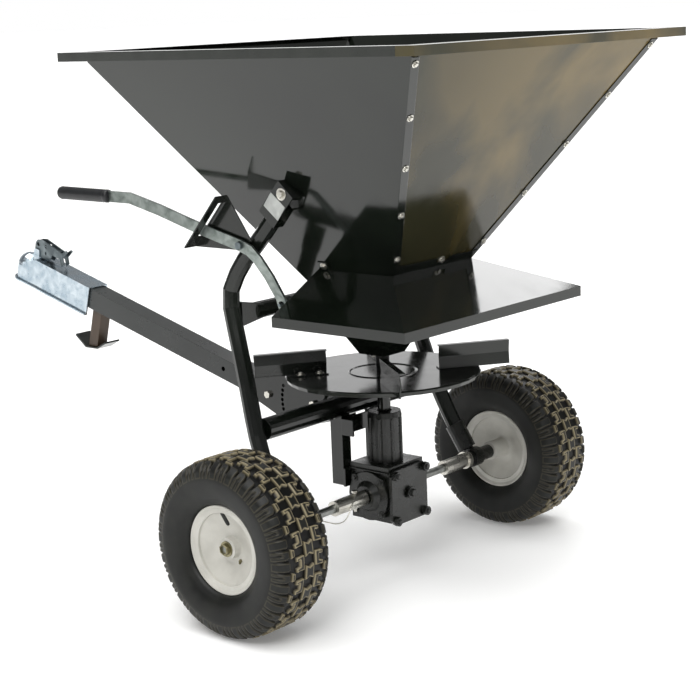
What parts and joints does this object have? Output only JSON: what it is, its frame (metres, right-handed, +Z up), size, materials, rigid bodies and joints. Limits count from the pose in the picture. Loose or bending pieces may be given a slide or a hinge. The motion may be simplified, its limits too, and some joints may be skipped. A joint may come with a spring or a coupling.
{
  "type": "tow-behind broadcast spreader",
  "caption": "Two-wheeled broadcast spreader towed behind a small vehicle: steel hopper over a ground-driven spinning disc, with a control lever, tow bar and ball coupler.",
  "frame": {"origin": "on the ground, at the bottom centre of the bounding box", "axes": "+Z up; +Y forwards along the tow bar; +X to the machine's right; the axle is parallel to X"},
  "size_m": [1.097, 1.7682, 1.193],
  "materials": {
    "hopper_paint": "glossy black powder coat with a faint green tone",
    "frame_paint": "glossy black powder coat",
    "cast_iron": "black painted casting",
    "shaft_steel": "drawn steel bar, lightly oiled",
    "zinc_plate": "bright zinc plating",
    "tyre_rubber": "black turf tyre rubber",
    "rim_paint": "satin off-white paint",
    "grip_rubber": "black moulded rubber grip"
  },
  "bodies": {
    "frame": {"hopper_left_panel": "hopper_paint", "hopper_right_panel": "hopper_paint", "hopper_front_panel": "hopper_paint", "hopper_rear_panel": "hopper_paint", "hopper_floor": "hopper_paint", "drop_funnel": "hopper_paint", "deflector_shield": "hopper_paint", "left_leg": "frame_paint", "right_leg": "frame_paint", "left_axle_bracket": "cast_iron", "right_axle_bracket": "cast_iron", "lower_cross_tube": "frame_paint", "upper_cross_tube": "frame_paint", "left_hopper_bracket": "frame_paint", "right_hopper_bracket": "frame_paint", "left_hanger": "frame_paint", "right_hanger": "frame_paint", "gearbox_mount_plate": "frame_paint", "neck_brace": "frame_paint", "hitch_bracket": "frame_paint", "gearbox_housing": "cast_iron", "gearbox_rear_cover": "cast_iron", "gearbox_left_cap": "cast_iron", "gearbox_right_cap": "cast_iron", "gearbox_neck": "cast_iron", "lever_guide": "frame_paint", "lever_pivot_bolt": "zinc_plate"},
    "tongue": {"left_hitch_plate": "frame_paint", "right_hitch_plate": "frame_paint", "tongue_tube": "frame_paint", "hitch_pivot_bolt": "zinc_plate", "hitch_tongue_bolt": "zinc_plate", "coupler_body": "zinc_plate", "coupler_ball_clamp": "shaft_steel", "stand_post": "frame_paint", "stand_foot": "frame_paint"},
    "coupler_latch": {"coupler_latch": "zinc_plate"},
    "axle": {"through_shaft": "shaft_steel", "drive_gear": "shaft_steel", "left_half_axle": "shaft_steel", "right_half_axle": "shaft_steel", "left_coupling_sleeve": "zinc_plate", "right_coupling_sleeve": "zinc_plate", "axle_lock_pin": "zinc_plate", "left_tyre": "tyre_rubber", "left_rim": "rim_paint"},
    "right_wheel": {"right_tyre": "tyre_rubber", "right_rim": "rim_paint"},
    "spinner": {"spinner_shaft": "shaft_steel", "pinion": "shaft_steel", "spinner_disc": "frame_paint", "spinner_blade_1": "frame_paint", "spinner_blade_2": "frame_paint", "spinner_blade_3": "frame_paint", "spinner_blade_4": "frame_paint", "agitator": "shaft_steel"},
    "lever": {"control_lever": "zinc_plate", "lever_grip": "grip_rubber"},
    "gate": {"gate_plate": "zinc_plate"},
    "control_rod": {"control_rod": "zinc_plate"}
  },
  "joints": [
    {"name": "tongue_pitch", "type": "hinge", "parent": "frame", "child": "tongue", "pos_m": [0, -0.2031, 0.3705], "axis": [1, 0, 0], "range_deg": [-26, 0]},
    {"name": "latch_swing", "type": "hinge", "parent": "tongue", "child": "coupler_latch", "pos_m": [0, 0.78958, 0.66012], "axis": [1, 0, 0], "range_deg": [-70, 0]},
    {"name": "axle_spin", "type": "hinge", "parent": "frame", "child": "axle", "pos_m": [0, -0.3881, 0.1905], "axis": [1, 0, 0], "continuous": true},
    {"name": "right_wheel_spin", "type": "hinge", "parent": "axle", "child": "right_wheel", "pos_m": [0.47, -0.3881, 0.1905], "axis": [1, 0, 0], "continuous": true},
    {"name": "spinner_spin", "type": "hinge", "parent": "frame", "child": "spinner", "pos_m": [0, -0.3881, 0.465], "axis": [0, 0, 1], "continuous": true},
    {"name": "lever_swing", "type": "hinge", "parent": "frame", "child": "lever", "pos_m": [-0.303, -0.2641, 0.78], "axis": [1, 0, 0], "range_deg": [0, 24]},
    {"name": "gate_slide", "type": "slide", "parent": "frame", "child": "gate", "axis": [0, 1, 0], "range_m": [0, 0.0584]},
    {"name": "rod_swing", "type": "hinge", "parent": "gate", "child": "control_rod", "pos_m": [-0.042, -0.3051, 0.572], "axis": [0, 1, 0], "range_deg": [-4.5, 0]}
  ],
  "couplings": [
    {"joint": "spinner_spin", "follows": "axle_spin", "ratio": -3},
    {"joint": "gate_slide", "follows": "lever_swing", "m_per_rad": 0.1392},
    {"joint": "rod_swing", "follows": "lever_swing", "ratio": -0.185}
  ]
}
